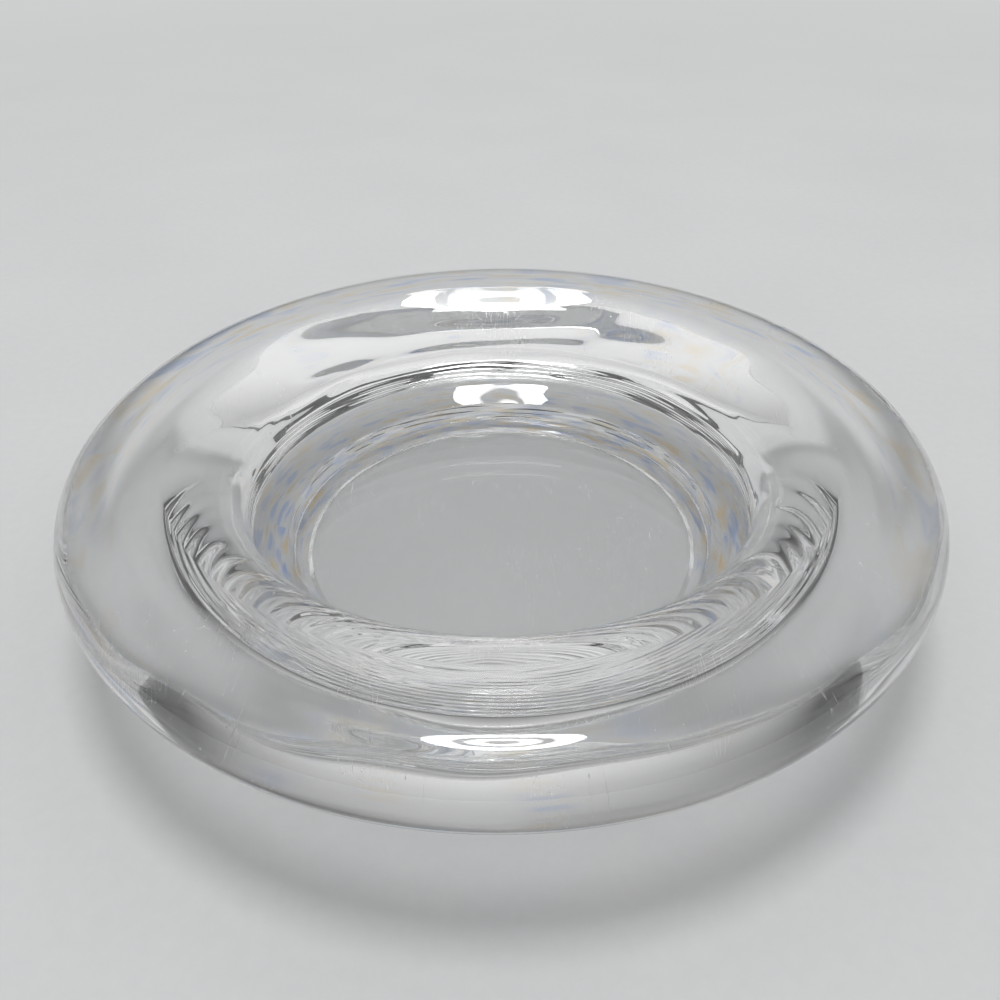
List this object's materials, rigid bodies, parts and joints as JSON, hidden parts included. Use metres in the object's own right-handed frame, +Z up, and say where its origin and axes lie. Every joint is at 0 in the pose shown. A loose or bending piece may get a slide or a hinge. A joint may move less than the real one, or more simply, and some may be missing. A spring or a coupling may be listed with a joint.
{
  "type": "floating candle bowl",
  "caption": "Heavy clear glass bowl for floating candles: a round water well inside a wide thick rim with a fully rounded lip, standing on a low ring foot.",
  "frame": {"origin": "middle of the base, on the surface that the bowl stands on", "axes": "+Z up along the axis of the bowl, out of the mouth of the well; the bowl is round, so X and Y are free"},
  "size_m": [0.25, 0.25, 0.0462],
  "materials": {
    "crystal": "clear, colourless, fire-polished"
  },
  "bodies": {
    "root": {"bowl": "crystal"}
  },
  "joints": []
}
